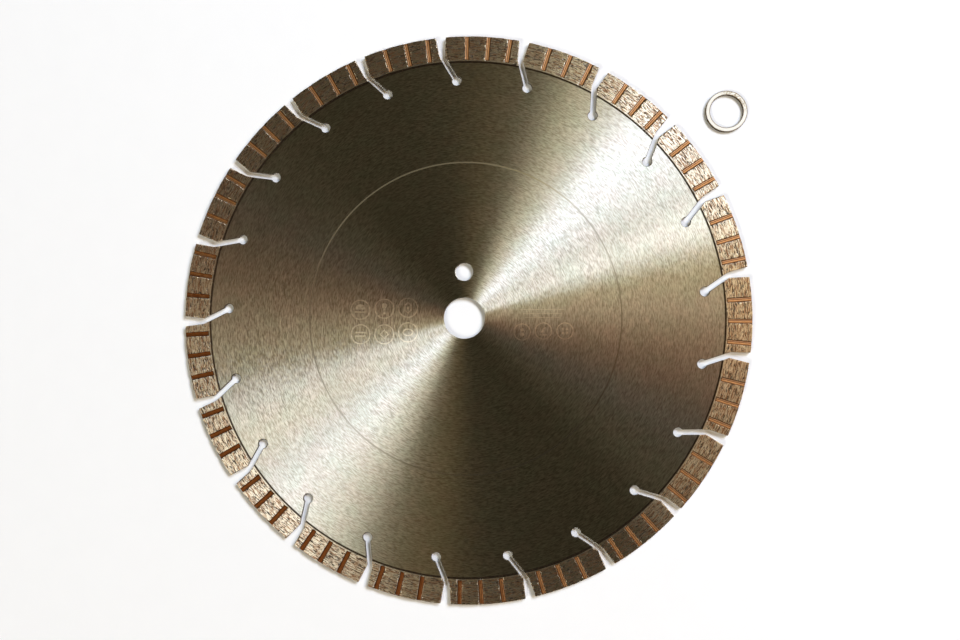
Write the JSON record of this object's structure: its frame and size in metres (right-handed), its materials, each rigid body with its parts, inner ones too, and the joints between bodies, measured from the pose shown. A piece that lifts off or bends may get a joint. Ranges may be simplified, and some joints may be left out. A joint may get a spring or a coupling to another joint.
{
  "type": "diamond blade",
  "caption": "Segmented diamond cutting disc for masonry saws: ground steel centre, slanted keyhole slots, welded turbo segments with copper-filled grooves, and a loose reducing ring.",
  "frame": {"origin": "centre of the arbor bore, at the mid-plane of the blade's thickness", "axes": "+Z along the bore axis out of the etched face, +Y from the bore towards the drive-pin hole, +X to the right of that on the etched face"},
  "size_m": [0.35, 0.35, 0.0032],
  "materials": {
    "core_steel": "circular ground, satin",
    "segment_matrix": "sintered, pitted, matte metallic",
    "copper_inlay": "sintered copper, grained",
    "weld_seam": "heat-tinted laser weld",
    "ring_steel": "zinc-plated turned steel, satin"
  },
  "bodies": {
    "blade": {"core": "core_steel", "segment_01": "segment_matrix", "segment_02": "segment_matrix", "segment_03": "segment_matrix", "segment_04": "segment_matrix", "segment_05": "segment_matrix", "segment_06": "segment_matrix", "segment_07": "segment_matrix", "segment_08": "segment_matrix", "segment_09": "segment_matrix", "segment_10": "segment_matrix", "segment_11": "segment_matrix", "segment_12": "segment_matrix", "segment_13": "segment_matrix", "segment_14": "segment_matrix", "segment_15": "segment_matrix", "segment_16": "segment_matrix", "segment_17": "segment_matrix", "segment_18": "segment_matrix", "segment_19": "segment_matrix", "segment_20": "segment_matrix", "segment_21": "segment_matrix", "copper_inlays_01": "copper_inlay", "copper_inlays_02": "copper_inlay", "copper_inlays_03": "copper_inlay", "copper_inlays_04": "copper_inlay", "copper_inlays_05": "copper_inlay", "copper_inlays_06": "copper_inlay", "copper_inlays_07": "copper_inlay", "copper_inlays_08": "copper_inlay", "copper_inlays_09": "copper_inlay", "copper_inlays_10": "copper_inlay", "copper_inlays_11": "copper_inlay", "copper_inlays_12": "copper_inlay", "copper_inlays_13": "copper_inlay", "copper_inlays_14": "copper_inlay", "copper_inlays_15": "copper_inlay", "copper_inlays_16": "copper_inlay", "copper_inlays_17": "copper_inlay", "copper_inlays_18": "copper_inlay", "copper_inlays_19": "copper_inlay", "copper_inlays_20": "copper_inlay", "copper_inlays_21": "copper_inlay", "weld_beads": "weld_seam"},
    "reducing_ring": {"reducing_ring": "ring_steel"}
  },
  "joints": [
    {"name": "reducing_ring_fitting", "type": "hinge", "parent": "blade", "child": "reducing_ring", "pos_m": [0.08025, 0.06315, -0.0003], "axis": [0.6184, -0.7859, 0], "range_deg": [0, 180]}
  ]
}
